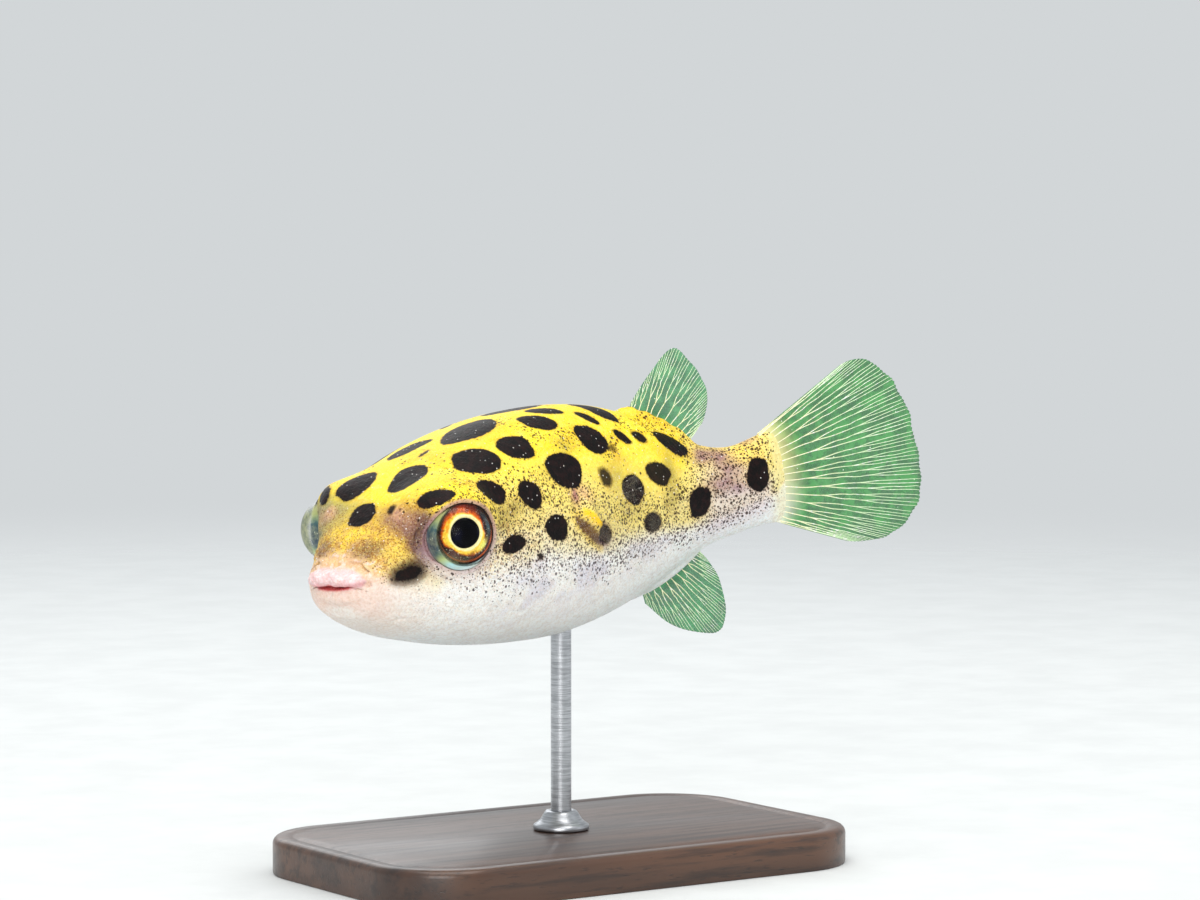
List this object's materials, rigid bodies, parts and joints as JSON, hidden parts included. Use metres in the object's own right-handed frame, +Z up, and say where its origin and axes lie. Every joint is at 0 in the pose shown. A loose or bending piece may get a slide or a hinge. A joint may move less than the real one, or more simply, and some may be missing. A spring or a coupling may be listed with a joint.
{
  "type": "freshwater green spotted pufferfish model",
  "caption": "Life-size still model of a green spotted pufferfish in a gentle swimming curve, held by one rod on a flat display base.",
  "frame": {"origin": "centre of the underside of the stand's base, below the rod", "axes": "+Z up; the head points to -X and the fish's left side faces -Y"},
  "size_m": [0.0737, 0.036, 0.0555],
  "materials": {
    "skin": "wet scale-less skin, yellow back with dark spots, speckled flank and white belly, fine prickles",
    "lip": "smooth pale pink wet lip",
    "eye": "gold iris with a dark pupil under a clear wet dome",
    "fin": "thin clear membrane with pale branching rays",
    "stand_wood": "dark stained wood, satin varnish",
    "stand_metal": "brushed steel"
  },
  "bodies": {
    "root": {"head": "skin", "trunk": "skin", "tail": "skin", "lip_upper": "lip", "lip_lower": "lip", "eye_left": "eye", "eye_right": "eye", "dorsal_fin": "fin", "anal_fin": "fin", "caudal_fin": "fin", "pectoral_fin_left": "fin", "pectoral_fin_right": "fin", "stand_base": "stand_wood", "stand_collar": "stand_metal", "stand_rod": "stand_metal"}
  },
  "joints": []
}
